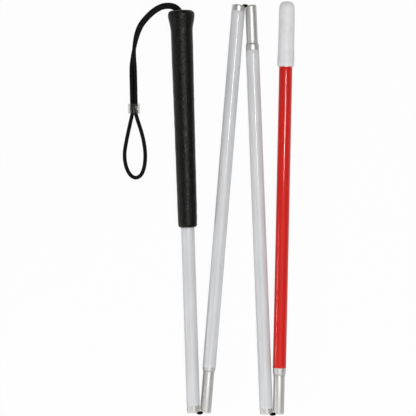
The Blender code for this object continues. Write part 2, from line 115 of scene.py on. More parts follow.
# The doubled wrist cord from its knot in the grip to the slider, in millimetres: the middle of
# the two strands, and the angle that one has turned over the other, in degrees
PAIR_ROUTE = [
    (-38.4, 145.2, 10.05, 48), (-38.8, 148.3, 10.1, 50), (-40.5, 151.4, 10.1, 52), (-42.9, 153.5, 9.95, 54),
    (-46.0, 154.7, 9.6, 56), (-52.3, 154.6, 8.5, 57), (-58.5, 151.7, 7.0, 57), (-64.2, 146.9, 5.3, 57),
    (-69.4, 140.6, 4.0, 58), (-72.2, 134.1, 3.5, 64), (-73.7, 128.0, 3.35, 79), (-74.8, 121.2, 3.35, 97),
    (-75.3, 114.0, 3.2, 128), (-75.4, 108.0, 3.0, 160), (-75.3, 101.9, 2.9, 180), (-75.15, 95.0, 2.85, 180),
    (-75.0, 88.0, 2.85, 180), (-74.8, 79.0, 2.85, 180), (-74.7, 72.4, 2.8, 180),
]
LOOP_ROUTE = [
    (-71.9, 67.6, 2.3), (-69.6, 60.5, 1.7), (-67.6, 52.8, 1.55), (-66.4, 45.1, 1.55), (-66.2, 38.5, 1.55),
    (-67.2, 31.0, 1.55), (-69.6, 25.6, 1.55), (-73.1, 23.6, 1.55), (-76.6, 24.9, 1.55), (-79.6, 29.0, 1.55),
    (-81.6, 35.6, 1.55), (-82.0, 42.6, 1.55), (-80.5, 52.5, 1.55), (-78.8, 60.5, 1.7), (-77.2, 67.6, 2.3),
]
STRAND_SPACING = 2.94
# The bead's middle, its length along the strands and the way they run through it
SLIDER_AT = (-74.75, 76.6, 2.85)
SLIDER_LENGTH = 7.6
SLIDER_WAY = (-0.019996, 0.9998, 0)

# The photograph's camera hangs straight above the table. VIEW_WIDTH is what it sees across at the
# height VIEW_PLANE, in metres, and SENSOR its sensor's width in millimetres
CAMERA_AT = (-0.01794, 0.00038, 1.4)
VIEW_WIDTH = 0.3189
VIEW_PLANE = 0.005
SENSOR = 36


def linear(hex_colour):
    """An sRGB hex colour as linear RGBA."""
    channels = [int(hex_colour[i:i + 2], 16) / 255 for i in (1, 3, 5)]
    return (*[c / 12.92 if c <= 0.04045 else ((c + 0.055) / 1.055) ** 2.4 for c in channels], 1.0)


# Settings that a user would change

class CaneSizes(bpy.types.PropertyGroup):
    tube_radius: FloatProperty(name="Tube radius", description="Outside of the main tubes", default=0.0049,
                               subtype="DISTANCE", unit="LENGTH")
    tube_bore: FloatProperty(name="Tube bore", description="Inside radius of the main tubes", default=0.0043,
                             subtype="DISTANCE", unit="LENGTH")
    insert_radius: FloatProperty(name="Insert radius", description="Outside of the plug-in inserts",
                                 default=0.00425, subtype="DISTANCE", unit="LENGTH")
    tape_radius: FloatProperty(name="Tape radius", description="Outside of the tape on the tubes", default=0.0051,
                               subtype="DISTANCE", unit="LENGTH")
    cord_radius: FloatProperty(name="Wrist cord radius", description="Half the wrist cord's thickness",
                               default=0.0015, subtype="DISTANCE", unit="LENGTH")
    round_steps: IntProperty(name="Round steps", description="Sides of each turned piece", default=96, min=24)


class CaneColours(bpy.types.PropertyGroup):
    rubber: FloatVectorProperty(name="Grip rubber", description="Colour of the moulded grip", subtype="COLOR",
                                size=3, default=linear("#0d0c0a")[:3])
    aluminium: FloatVectorProperty(name="Aluminium", description="Colour of the bare tubes and inserts",
                                   subtype="COLOR", size=3, default=linear("#dad9d6")[:3])
    white_tape: FloatVectorProperty(name="White tape", description="Colour of the silver-white tape",
                                    subtype="COLOR", size=3, default=linear("#d9dadc")[:3])
    red_tape: FloatVectorProperty(name="Red tape", description="Colour of the tape on the lowest section",
                                  subtype="COLOR", size=3, default=linear("#d62018")[:3])
    nylon: FloatVectorProperty(name="Pencil tip", description="Colour of the moulded tip", subtype="COLOR",
                               size=3, default=linear("#eaeaec")[:3])
    cord: FloatVectorProperty(name="Wrist cord", description="Colour of the wrist cord and the elastic",
                              subtype="COLOR", size=3, default=linear("#090909")[:3])
    bead: FloatVectorProperty(name="Bead", description="Tint of the clear bead on the wrist cord",
                              subtype="COLOR", size=3, default=linear("#d4d4ce")[:3])
    table: FloatVectorProperty(name="Table", description="Colour of the table", subtype="COLOR", size=3,
                               default=linear("#e8e8e8")[:3])


# Materials

def shade(colour, amount):
    """A colour of the settings made lighter or darker, as RGBA."""
    return (*[min(1.0, c * amount) for c in colour], 1.0)


def add_node(material, kind, links=(), to=(), stops=(), **settings):
    """Add a node to a material or world with its settings, and link its inputs and outputs.

    links are (input, node, output) and to are (output, node, input). stops are the positions and
    colours of a ramp. A setting is one of the node's own, or an input by name or i and number.
    """
    tree = material.node_tree
    node = tree.nodes.new("ShaderNode" + kind)
    for key, value in settings.items():
        if hasattr(node, key):
            setattr(node, key, value)
        else:
            socket = int(key[1:]) if key[1:].isdigit() else key.replace("_", " ")
            node.inputs[socket].default_value = value
    for socket, source, output in links:
        tree.links.new(source.outputs[output], node.inputs[socket])
    for output, target, socket in to:
        tree.links.new(node.outputs[output], target.inputs[socket])
    for position, colour in stops[2:]:
        node.color_ramp.elements.new(position)
    for element, (position, colour) in zip(node.color_ramp.elements if stops else (), sorted(stops)):
        element.position, element.color = position, colour
    return node


def surface(name, **values):
    """A material with its Principled shader's constant values."""
    material = bpy.data.materials.new(name)
    material.use_nodes = True
    shader = material.node_tree.nodes["Principled BSDF"]
    for key, value in values.items():
        shader.inputs[key.replace("_", " ")].default_value = value
    return material, shader


def rubber_material(colour):
    # Moulded natural rubber: matt black with a fine pebbled grain that catches a broken grey
    # sheen. The real pebbles are near 0.4 mm and are drawn at 1.3 mm, so that they show.
    material, shader = surface("moulded_black_rubber", IOR=1.52, Specular_IOR_Level=0.2)
    place = add_node(material, "TexCoord")
    blotches = add_node(material, "TexNoise", [("Vector", place, "Object")], Scale=260.0, Detail=3.0)
    grain = add_node(material, "TexVoronoi", [("Vector", place, "Object")], Scale=770.0)
    add_node(material, "ValToRGB", [(0, blotches, 0)], [(0, shader, "Base Color")],
             [(0.35, shade(colour, 0.65)), (0.65, shade(colour, 1.5))])
    add_node(material, "MapRange", [(0, blotches, 0)], [(0, shader, "Roughness")], From_Min=0.3, From_Max=0.7,
             To_Min=0.36, To_Max=0.5)
    add_node(material, "Bump", [("Height", grain, 0)], [(0, shader, "Normal")], invert=True, Strength=0.5,
             Distance=0.0004)
    return material


def aluminium_material(colour):
    # Drawn aluminium tube, bare: satin, with faint lines along the drawing direction. Its reflection
    # is tinted dark where it turns away, which paints shade along its edges. The lines are under
    # 0.1 mm and are drawn at 0.5 mm, so that they show.
    material, shader = surface("drawn_aluminium", Metallic=1.0, Specular_Tint=linear("#666560"))
    place = add_node(material, "Attribute", attribute_name="own_place")
    drawn = add_node(material, "Mapping", [(0, place, "Vector")], Scale=(2000, 2000, 50))
    lines = add_node(material, "TexNoise", [("Vector", drawn, 0)], Scale=1.0, Detail=2.0)
    add_node(material, "ValToRGB", [(0, lines, 0)], [(0, shader, "Base Color")],
             [(0.3, shade(colour, 0.9)), (0.7, shade(colour, 1.08))])
    add_node(material, "MapRange", [(0, lines, 0)], [(0, shader, "Roughness")], To_Min=0.48, To_Max=0.6)
    add_node(material, "Bump", [("Height", lines, 0)], [(0, shader, "Normal")], Strength=0.12, Distance=0.0001)
    return material


def tape_material(name, colour, coat, coat_roughness):
    # Retroreflective polyester tape: glass beads under a smooth clear film give an even, slightly
    # cloudy tone below a thin crisp highlight, and the film's pull along the tube leaves fine
    # streaks. The beads' rows are under 0.1 mm apart and are drawn 0.8 mm apart, so that they
    # show; the clouds, where the film was pressed down, are 5 by 40 mm.
    material, shader = surface(name, Roughness=0.6, IOR=1.45, Specular_IOR_Level=0.15, Coat_Weight=coat,
                               Coat_Roughness=coat_roughness, Coat_IOR=1.45)
    place = add_node(material, "Attribute", attribute_name="own_place")
    pressed = add_node(material, "Mapping", [(0, place, "Vector")], Scale=(200, 200, 25))
    clouds = add_node(material, "TexNoise", [("Vector", pressed, 0)], Scale=1.0, Detail=3.0, Roughness=0.55)
    rows = add_node(material, "Mapping", [(0, place, "Vector")], Scale=(1250, 1250, 8))
    beads = add_node(material, "TexNoise", [("Vector", rows, 0)], Scale=1.0, Detail=1.0)
    both = add_node(material, "Math", [(0, clouds, 0), (1, beads, 0)], operation="ADD")
    mean = add_node(material, "Math", [(0, both, 0)], operation="MULTIPLY", i1=0.5)
    add_node(material, "ValToRGB", [(0, mean, 0)], [(0, shader, "Base Color")],
             [(0.36, shade(colour, 0.9)), (0.64, shade(colour, 1.1))])
    add_node(material, "Bump", [("Height", beads, 0)], [(0, shader, "Normal")], Strength=0.08, Distance=0.0001)
    return material


def nylon_material(colour):
    # Injection-moulded nylon: milky, with a soft gloss dulled by fine scuffs. The scuffs are
    # drawn at 1.2 mm.
    material, shader = surface("moulded_white_nylon", IOR=1.53, Specular_IOR_Level=0.35, Subsurface_Weight=0.15,
                               Subsurface_Radius=(0.002, 0.0018, 0.0016))
    place = add_node(material, "Attribute", attribute_name="own_place")
    clouds = add_node(material, "TexNoise", [("Vector", place, "Vector")], Scale=180.0, Detail=2.0)
    scuffs = add_node(material, "TexNoise", [("Vector", place, "Vector")], Scale=830.0, Detail=3.0)
    add_node(material, "ValToRGB", [(0, clouds, 0)], [(0, shader, "Base Color")],
             [(0.3, shade(colour, 0.94)), (0.7, shade(colour, 1.04))])
    add_node(material, "MapRange", [(0, scuffs, 0)], [(0, shader, "Roughness")], To_Min=0.35, To_Max=0.65)
    add_node(material, "Bump", [("Height", scuffs, 0)], [(0, shader, "Normal")], Strength=0.1, Distance=0.0002)
    return material


def braid_material(name, colour, strand, length, around, roughness):
    # Braided polyester cover: two families of yarns cross at a slant and leave rows of small
    # staggered diamonds. strand is their spacing along the cord, about twice the real one so that
    # they show, and around is how many go round it.
    material, shader = surface(name, Roughness=roughness, Specular_IOR_Level=0.1)
    place = add_node(material, "UVMap")
    parts = add_node(material, "SeparateXYZ", [(0, place, 0)])
    turns = add_node(material, "Math", [(0, parts, "Y")], operation="MULTIPLY", i1=around * math.tau)
    runs = add_node(material, "Math", [(0, parts, "X")], operation="MULTIPLY", i1=length / strand * math.tau)
    waves = []
    for operation in ("ADD", "SUBTRACT"):
        phase = add_node(material, "Math", [(0, runs, 0), (1, turns, 0)], operation=operation)
        waves.append(add_node(material, "Math", [(0, phase, 0)], operation="SINE"))
    weave = add_node(material, "Math", [(0, waves[0], 0), (1, waves[1], 0)], operation="ADD")
    height = add_node(material, "MapRange", [(0, weave, 0)], From_Min=-2.0, From_Max=2.0)
    # The ramp paints the yarns' crowns lighter and the gaps between them darker: painted light on the crowns and
    # painted shade in the gaps, over the bump of the same weave.
    add_node(material, "ValToRGB", [(0, height, 0)], [(0, shader, "Base Color")],
             [(0.1, shade(colour, 0.4)), (0.9, shade(colour, 2.2))])
    add_node(material, "Bump", [("Height", height, 0)], [(0, shader, "Normal")], Strength=0.6, Distance=0.0003)
    return material


def clear_material(colour):
    # Clear moulded acrylic, a little cloudy from handling: the cord shows grey through it, its
    # thick sides gather the light of the table, and ripples left by the mould catch small glints.
    # The ripples are 1.6 mm apart.
    material, shader = surface("clear_acrylic", Base_Color=shade(colour, 1), IOR=1.3, Transmission_Weight=0.97)
    place = add_node(material, "TexCoord")
    haze = add_node(material, "TexNoise", [("Vector", place, "Object")], Scale=600.0, Detail=2.0)
    add_node(material, "MapRange", [(0, haze, 0)], [(0, shader, "Roughness")], To_Min=0.05, To_Max=0.2)
    add_node(material, "Bump", [("Height", haze, 0)], [(0, shader, "Normal")], Strength=0.4, Distance=0.0004)
    return material


def plug_material(colour):
    # Moulded polypropylene plugs: black, with a plain satin face.
    material, shader = surface("moulded_polypropylene", Base_Color=shade(colour, 4), IOR=1.49)
    place = add_node(material, "TexCoord")
    haze = add_node(material, "TexNoise", [("Vector", place, "Object")], Scale=900.0)
    add_node(material, "MapRange", [(0, haze, 0)], [(0, shader, "Roughness")], To_Min=0.4, To_Max=0.55)
    return material


def cane_material(name):
    """The named finish, made once."""
    if name in bpy.data.materials:
        return bpy.data.materials[name]
    colours = bpy.context.scene.cane_colours
    # The tapes' last numbers are the coat's weight and roughness. Those of the braids are the
    # spacing of their yarns and the length of the cord in metres, the yarns round it and the
    # roughness.
    makers = {
        "moulded_black_rubber": (rubber_material, colours.rubber),
        "drawn_aluminium": (aluminium_material, colours.aluminium),
        "white_reflective_tape": (tape_material, name, colours.white_tape, 0.5, 0.14),
        "red_reflective_tape": (tape_material, name, colours.red_tape, 0.6, 0.08),
        "moulded_white_nylon": (nylon_material, colours.nylon),
        "braided_black_cord": (braid_material, name, colours.cord, 0.0018, 0.329, 6, 0.6),
        "braided_black_elastic": (braid_material, name, colours.cord, 0.0014, 0.078, 5, 0.6),
        "clear_acrylic": (clear_material, colours.bead),
        "moulded_polypropylene": (plug_material, colours.cord),
    }
    maker, *details = makers[name]
    return maker(*details)


# Shapes

def section_matrix(section):
    """Places section coordinates: Z runs up the section, Y as near to the world's up as it can."""
    start, direction, _ = SECTIONS[section]
    z = Vector(direction).normalized()
    y = (Vector((0, 0, 1)) - z.z * z).normalized()
    turn = Matrix((y.cross(z), y, z)).transposed().to_4x4()
    return Matrix.Translation(start) @ turn


def smooth_through(points, step, before=None, after=None):
    """Points about step apart on the centripetal curve through the given ones, ends included.

    before and after are the points that the curve comes from and goes on to, where it has any.
    """
    points = [Vector(p) for p in points]
    before = before or 2 * points[0] - points[1]
    after = after or 2 * points[-1] - points[-2]
    padded = [before, *points, after]
    dense, between = [], 16
    for p0, p1, p2, p3 in zip(padded, padded[1:], padded[2:], padded[3:]):
        t1 = (p1 - p0).length ** 0.5
        t2 = t1 + (p2 - p1).length ** 0.5
        t3 = t2 + (p3 - p2).length ** 0.5
        for i in range(between):
            t = t1 + (t2 - t1) * i / between
            a1 = p0.lerp(p1, t / t1)
            a2 = p1.lerp(p2, (t - t1) / (t2 - t1))
            a3 = p2.lerp(p3, (t - t2) / (t3 - t2))
            b1 = a1.lerp(a2, t / t2)
            b2 = a2.lerp(a3, (t - t1) / (t3 - t1))
            dense.append(b1.lerp(b2, (t - t1) / (t2 - t1)))
    dense.append(points[-1])
    total = sum((q - p).length for p, q in zip(dense, dense[1:]))
    count = max(2, round(total / step))
    out, walked, target = [dense[0]], 0.0, total / count
    for p, q in zip(dense, dense[1:]):
        length = (q - p).length
        while walked + length >= target and len(out) < count:
            out.append(p.lerp(q, (target - walked) / length))
            target += total / count
        walked += length
    return [*out, dense[-1]]


def arc(centre, radius, start, stop, steps):
    """(radius, height) points on part of a circle, angles in degrees from the outward direction."""
    angles = [math.radians(start + (stop - start) * i / steps) for i in range(steps + 1)]
    return [(centre[0] + radius * math.cos(a), centre[1] + radius * math.sin(a)) for a in angles]


def mesh_piece(name, bm, material, body, node):
    """Turn a bmesh in world place into a finished piece that rides on its body."""
    mesh = bpy.data.meshes.new(name)
    bm.to_mesh(mesh)
    bm.free()
    mesh.shade_smooth()
    mesh.set_sharp_from_angle(angle=math.radians(40))
    mesh.materials.append(cane_material(material))
    piece = bpy.data.objects.new(name, mesh)
    bpy.context.scene.collection.objects.link(piece)
    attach(piece, body)
    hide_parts(node)
    return piece


def turned(profile, section, closed=True, dents=0.0, lap=0.0, dip=None):
    """Spin a (radius, height) profile in millimetres about a section's axis and lay it in place.

    dents is how far the surface wanders, and lap the thickness of the tape's edge where it laps
    over itself low on the far side, both in millimetres. dip is the height of the rim that dips
    under the elastic, the way to its neighbour along X and the depth.
    """
    steps = bpy.context.scene.cane_sizes.round_steps
    bm = bmesh.new()
    verts = [bm.verts.new((r * MM, 0, z * MM)) for r, z in profile]
    edges = [bm.edges.new(pair) for pair in zip(verts, verts[1:])]
    if closed:
        edges.append(bm.edges.new((verts[-1], verts[0])))
    bmesh.ops.spin(bm, geom=verts + edges, cent=(0, 0, 0), axis=(0, 0, 1), dvec=(0, 0, 0), angle=math.tau,
                   steps=steps, use_merge=True, use_duplicate=False)
    bmesh.ops.remove_doubles(bm, verts=bm.verts, dist=1e-7)
    bmesh.ops.recalc_face_normals(bm, faces=bm.faces)
    layer = bm.verts.layers.float_vector.new("own_place")
    for vert in bm.verts:
        vert[layer] = vert.co
    if dip:
        rim, towards, most = dip
        inward = -1 if rim > SECTIONS[section][2] / 2 else 1
        for vert in bm.verts:
            depth = abs(vert.co.z / MM - rim)
            if depth < DIP_LENGTH:
                facing = max(0.0, vert.co.x * towards / max(vert.co.xy.length, MM))
                vert.co.z += inward * most * MM * facing ** 2 * (1 - depth / DIP_LENGTH) ** 2
    if dents or lap:
        lap_from, lap_to, dents_per_metre = 205, 250, 160
        bm.normal_update()
        for vert in bm.verts:
            outward = Vector((vert.co.x, vert.co.y, 0)).normalized()
            if vert.normal.dot(outward) < 0.5:  # the rims and the bore stay as they are
                continue
            angle = math.degrees(math.atan2(vert.co.y, vert.co.x)) % 360
            if lap_from < angle < lap_to:
                vert.co += outward * lap * MM
            vert.co += outward * dents * MM * noise.noise(vert.co * dents_per_metre)
    bmesh.ops.transform(bm, matrix=section_matrix(section), verts=bm.verts)
    return bm


def tube_rim(at, up, rolled, radius):
    """A tube's outer rim: softened, or rolled in with the groove that holds its insert."""
    if rolled:
        rim = [(p.y, p.x) for p in smooth_through([(d, r, 0) for d, r in [*ROLLED_RIM, (2.6, radius)]], 0.12)]
    else:
        inset, length = 0.5, 1.4
        rim = [(r, length - d / inset * length) for r, d in arc((radius - inset, 0), inset, 90, 0, 8)]
    points = [(r, at - depth if up else at + depth) for r, depth in rim]
    return points if up else points[::-1]


def wall_profile(outer, bore, low, high, rolled=None):
    """Outline of a tube wall with its softened rims and its bore, and loops along its length."""
    loops, rim_length, edge = 24, 3, 0.06
    runs = [low + (high - low) * i / loops for i in range(loops, -1, -1)]
    middle = [(outer, z) for z in runs if low + rim_length < z < high - rim_length]
    rims = tube_rim(high, True, rolled == "high", outer), tube_rim(low, False, rolled == "low", outer)
    inner = [(bore + edge, low), (bore, low + edge), (bore, high - edge), (bore + edge, high)]
    return [*rims[0], *middle, *rims[1], *inner]


def insert_profile(outer, bore, end, inner_end):
    """Outline of an insert, eased towards its outer end so that it finds the next tube's bore."""
    low, high = min(end, inner_end), max(end, inner_end)
    up = end > inner_end
    steps, inset, length, edge = 6, 0.45, 1.4, 0.1
    ease = [(outer - inset * (1 - math.cos(math.radians(90 * i / steps))), i / steps * length)
            for i in range(steps + 1)]
    top = [(r, high - length + d) for r, d in ease][::-1] if up else [(outer - edge / 2, high), (outer, high - edge)]
    bottom = [(outer, low + edge), (outer - edge / 2, low)] if up else [(r, low + length - d) for r, d in ease]
    return [*top, *bottom, (bore + edge, low), (bore, low + edge), (bore, high - edge), (bore + edge, high)]


def tape_profile(outer, low, high):
    """A film 0.12 mm thick with its cut edges, and loops about every 3 mm along it."""
    count, film, cut, edge = round((high - low) / 3), 0.12, 0.04, 0.05
    run = [(outer, high - edge - (high - low - 2 * edge) * i / count) for i in range(count + 1)]
    return [(outer - cut, high), *run, (outer - cut, low), (outer - film, low), (outer - film, high)]


# The wrist cord

def strands(step):
    """The two strands from the grip to the slider, side by side about the middle of the pair."""
    route = [(x, y, z, math.radians(turned_by)) for x, y, z, turned_by in PAIR_ROUTE]
    middle = smooth_through(route, step)
    first, second = [], []
    for i, station in enumerate(middle):
        before, after = middle[max(i - 1, 0)], middle[min(i + 1, len(middle) - 1)]
        along = Vector((after.x - before.x, after.y - before.y, 0)).normalized()
        across = along.cross(Vector((0, 0, 1)))
        offset = math.cos(station.w) * across + math.sin(station.w) * Vector((0, 0, 1))
        first.append(station.xyz + offset * STRAND_SPACING / 2)
        second.append(station.xyz - offset * STRAND_SPACING / 2)
    return first, second


def wrist_cord_route(step):
    first, second = strands(step)
    loop = smooth_through([first[-1], *LOOP_ROUTE, second[-1]], step, first[-2], second[-2])
    return [p * MM for p in (*first[:-1], *loop, *reversed(second[:-1]))]


def cord_curve(name, points, radius, material, thickness=None):
    """A round cord as one open poly spline through points in metres."""
    curve = bpy.data.curves.new(name, "CURVE")
    curve.dimensions = "3D"
    curve.bevel_depth = radius
    curve.bevel_resolution = 5
    curve.use_fill_caps = True
    spline = curve.splines.new("POLY")
    spline.points.add(len(points) - 1)
    for i, point in enumerate(points):
        spline.points[i].co = (*point, 1.0)
        spline.points[i].radius = thickness[i] if thickness else 1.0
    spline.use_smooth = True
    curve.materials.append(cane_material(material))
    piece = bpy.data.objects.new(name, curve)
    bpy.context.scene.collection.objects.link(piece)
    return piece


class CANE_OT_camera(bpy.types.Operator):
    """Hang the photograph's camera straight above the table"""

    bl_idname = "cane.camera"
    bl_label = "Camera"

    def execute(self, context):
        data = bpy.data.cameras.new("overhead_camera")
        data.sensor_width = SENSOR
        data.lens = SENSOR * (CAMERA_AT[2] - VIEW_PLANE) / VIEW_WIDTH
        data.clip_start = 0.01
        camera = bpy.data.objects.new("overhead_camera", data)
        camera.location = CAMERA_AT
        context.scene.collection.objects.link(camera)
        context.scene.camera = camera
        return {"FINISHED"}


class CANE_OT_wrist_cord(bpy.types.Operator):
    """Lay the doubled wrist cord from the knot in the grip through the slider to its loop"""

    bl_idname = "cane.wrist_cord"
    bl_label = "Wrist cord"

    def execute(self, context):
        radius = context.scene.cane_sizes.cord_radius
        points = wrist_cord_route(1.6)
        cord = cord_curve("wrist_cord_braid", points, radius, "braided_black_cord")
        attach(cord, "handle_section")
        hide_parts("wrist_cord")
        slider = make_slider()
        return {"FINISHED"}


def rounded_outline(width, height, corner, steps):
    """Corner points of a flat outline with round corners, anticlockwise, in metres."""
    out = []
    for k, (sx, sy) in enumerate(((1, 1), (-1, 1), (-1, -1), (1, -1))):
        cx, cy = sx * (width / 2 - corner), sy * (height / 2 - corner)
        for i in range(steps + 1):
            a = math.radians(90 * k + 90 * i / steps)
            out.append(((cx + corner * math.cos(a)) * MM, (cy + corner * math.sin(a)) * MM, 0))
    return out


def make_slider():
    """The clear flattened bead with one slot for both strands."""
    bm = bmesh.new()
    rings = []
    outside, slot = rounded_outline(9.1, 5.4, 2.4, 8), rounded_outline(6.9, 3.6, 1.79, 8)
    for outline in (outside, slot):
        verts = [bm.verts.new(p) for p in outline]
        rings += [bm.edges.new(pair) for pair in zip(verts, verts[1:] + verts[:1])]
    end = bmesh.ops.bridge_loops(bm, edges=rings)["faces"]
    grown = bmesh.ops.extrude_face_region(bm, geom=end)["geom"]
    bmesh.ops.translate(bm, vec=(0, 0, SLIDER_LENGTH * MM),
                        verts=[g for g in grown if isinstance(g, bmesh.types.BMVert)])
    bmesh.ops.recalc_face_normals(bm, faces=bm.faces)
    bm.normal_update()
    rims = [e for e in bm.edges if len(e.link_faces) == 2 and e.calc_face_angle() > math.radians(80)]
    bmesh.ops.bevel(bm, geom=rims, offset=0.35 * MM, affect="EDGES", segments=3, profile=0.5, material=-1)
    way = Vector(SLIDER_WAY)
    up = Vector((0, 0, 1))
    turn = Matrix((up.cross(way), up, way)).transposed().to_4x4()
    middle = Matrix.Translation((0, 0, -SLIDER_LENGTH / 2 * MM))
    place = Matrix.Translation(Vector(SLIDER_AT) * MM) @ turn @ middle
    bmesh.ops.transform(bm, matrix=place, verts=bm.verts)
    return mesh_piece("cord_slider_bead", bm, "clear_acrylic", "cord_slider", "cord_slider")


class CANE_OT_grip(bpy.types.Operator):
    """Turn the rubber grip with its flared head, soft lip and the mouth for the wrist cord"""

    bl_idname = "cane.grip"
    bl_label = "Grip"

    def execute(self, context):
        top = SECTIONS["handle_section"][2]
        end, bore, lip_round, head_round = top - 165.7, 5.0, 2.1, 3.0
        side = smooth_through([(r, top - d, 0) for d, r in GRIP_OUTLINE], 1.2)
        head = arc((7.15, top - head_round), head_round, 90, 4, 8)
        lip = arc((7.24 - lip_round, end + lip_round), lip_round, 0, -90, 8)
        lip = [(r, z) for r, z in lip if r > bore + 0.05]
        inside = [(bore, end + 0.1), (bore, top - 4.0)]
        # The mouth that the wrist cord comes out of, widening to the top
        mouth = [(3.9, top - 4.0), (3.9, top - 3.3), (4.3, top - 2.7), (5.4, top - 1.5), (6.3, top - 0.55),
                 (6.75, top - 0.1)]
        profile = [*head, *[(p.x, p.y) for p in side], *lip, *inside, *mouth]
        bm = turned(profile, "handle_section", dents=0.12)
        mesh_piece("grip_rubber", bm, "moulded_black_rubber", "handle_section", "handle_grip")
        return {"FINISHED"}


class CANE_OT_tubes(bpy.types.Operator):
    """Draw the four main tubes, softened at their sockets and rolled in onto their inserts"""

    bl_idname = "cane.tubes"
    bl_label = "Main tubes"

    def execute(self, context):
        sizes = context.scene.cane_sizes
        outer, bore = sizes.tube_radius / MM, sizes.tube_bore / MM
        for node, body, low, high, rolled, dip in (
            ("handle_tube", "handle_section", 0, 288.5, None, (0, -1, SOCKET_DIP)),
            ("section_2_tube", "section_2", 31.4, 313.6, "low", (313.6, -1, SOCKET_DIP)),
            ("section_3_tube", "section_3", 0, 284.9, "high", (0, -1, SOCKET_DIP)),
            ("tip_section_tube", "tip_section", 29.2, 300.0, "low", None),
        ):
            bm = turned(wall_profile(outer, bore, low, high, rolled), body, dip=dip)
            mesh_piece(node + "_drawn", bm, "drawn_aluminium", body, node)
        return {"FINISHED"}


class CANE_OT_inserts(bpy.types.Operator):
    """Turn the thin inserts that plug each section into the next"""

    bl_idname = "cane.inserts"
    bl_label = "Inserts"

    def execute(self, context):
        outer = context.scene.cane_sizes.insert_radius / MM
        for node, body, end, inner_end in (
            ("section_2_insert", "section_2", 0, 61.4),
            ("section_3_insert", "section_3", 313.5, 254.9),
            ("tip_section_insert", "tip_section", 0, 59.2),
        ):
            bm = turned(insert_profile(outer, INSERT_BORE, end, inner_end), body, dip=(end, 1, INSERT_DIP))
            mesh_piece(node + "_turned", bm, "drawn_aluminium", body, node)
        return {"FINISHED"}


class CANE_OT_tapes(bpy.types.Operator):
    """Wrap the silver-white tape and the red tape, each lapping over itself underneath"""

    bl_idname = "cane.tapes"
    bl_label = "Reflective tape"

    def execute(self, context):
        outer = context.scene.cane_sizes.tape_radius / MM
        white, red = "white_reflective_tape", "red_reflective_tape"
        for node, body, low, high, material, slot in (
            ("handle_tape", "handle_section", 5.7, 141.7, white, "white_tape"),
            ("section_2_tape", "section_2", 35.2, 308.9, white, "white_tape"),
            ("section_3_tape", "section_3", 4.4, 278.9, white, "white_tape"),
            ("tip_section_tape", "tip_section", 35.2, 265.7, red, "red_tape"),
        ):
            bm = turned(tape_profile(outer, low, high), body, lap=0.09)
            mesh_piece(node + "_film", bm, material, body, node)
        return {"FINISHED"}


class CANE_OT_pencil_tip(bpy.types.Operator):
    """Turn the moulded nylon tip with its blunt end and thicker lip"""

    bl_idname = "cane.pencil_tip"
    bl_label = "Pencil tip"

    def execute(self, context):
        end = SECTIONS["tip_section"][2]
        length, lip_round, bore, floor = 50, 1.5, 5.0, 9.0
        side = smooth_through([(r, end - d, 0) for d, r in TIP_OUTLINE], 0.9)
        lip = arc((TIP_OUTLINE[-1][1] - lip_round, end - length + lip_round), lip_round, -4, -84, 8)
        inside = [(bore + 0.05, end - length), (bore, end - length + 0.1), (bore, end - floor - 0.3),
                  (bore - 0.3, end - floor), (0, end - floor)]
        profile = [*[(p.x, p.y) for p in side], *lip, *inside]
        bm = turned(profile, "tip_section", closed=False)
        mesh_piece("pencil_tip_nylon", bm, "moulded_white_nylon", "tip_section", "pencil_tip")
        return {"FINISHED"}


class CANE_OT_elastic(bpy.types.Operator):
    """Bend the elastic over the rims at each fold, from one bore into the next"""

    bl_idname = "cane.elastic"
    bl_label = "Elastic at the folds"

    def execute(self, context):
        for fold, (parent, child, place, proud) in FOLDS.items():
            socket, into_socket = mouth(parent, place)
            insert, _ = mouth(child, place)
            leg, socket_half, insert_half = elastic_route(fold, parent, child, place, proud)
            # The run inside the socket shortens as the insert slides in over its place
            run = elastic_piece(fold, "_elastic_run", leg)
            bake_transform(run)
            # The two halves of the loop ride on the fold and on the next section, and turn on one
            # another like a ball in a cup
            for name, strand, body, middle in (
                ("_elastic_loop", socket_half, fold, socket), ("_elastic_end", insert_half, child, insert),
            ):
                half = elastic_piece(fold, name, strand)
                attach(half, body)
                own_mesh(half)
        return {"FINISHED"}


def mouth(section, place):
    """The middle of a section's open end, in metres, and the way into it."""
    start, direction, length = SECTIONS[section]
    way = Vector(direction).normalized()
    return (Vector(start) + way * length * MM, -way) if place == "upper" else (Vector(start), way)


def elastic_piece(fold, name, strand):
    """A length of a fold's elastic as a mesh, from its points and their thickness."""
    points, thickness = zip(*strand)
    curve = cord_curve("draft", points, ELASTIC_RADIUS * MM, "braided_black_elastic", thickness)
    mesh = bpy.data.meshes.new_from_object(curve.evaluated_get(bpy.context.evaluated_depsgraph_get()))
    bpy.data.objects.remove(curve)
    mesh.name = fold + name
    mesh.shade_smooth()
    piece = bpy.data.objects.new(fold + name, mesh)
    bpy.context.scene.collection.objects.link(piece)
    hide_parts("elastic_" + fold)
    return piece


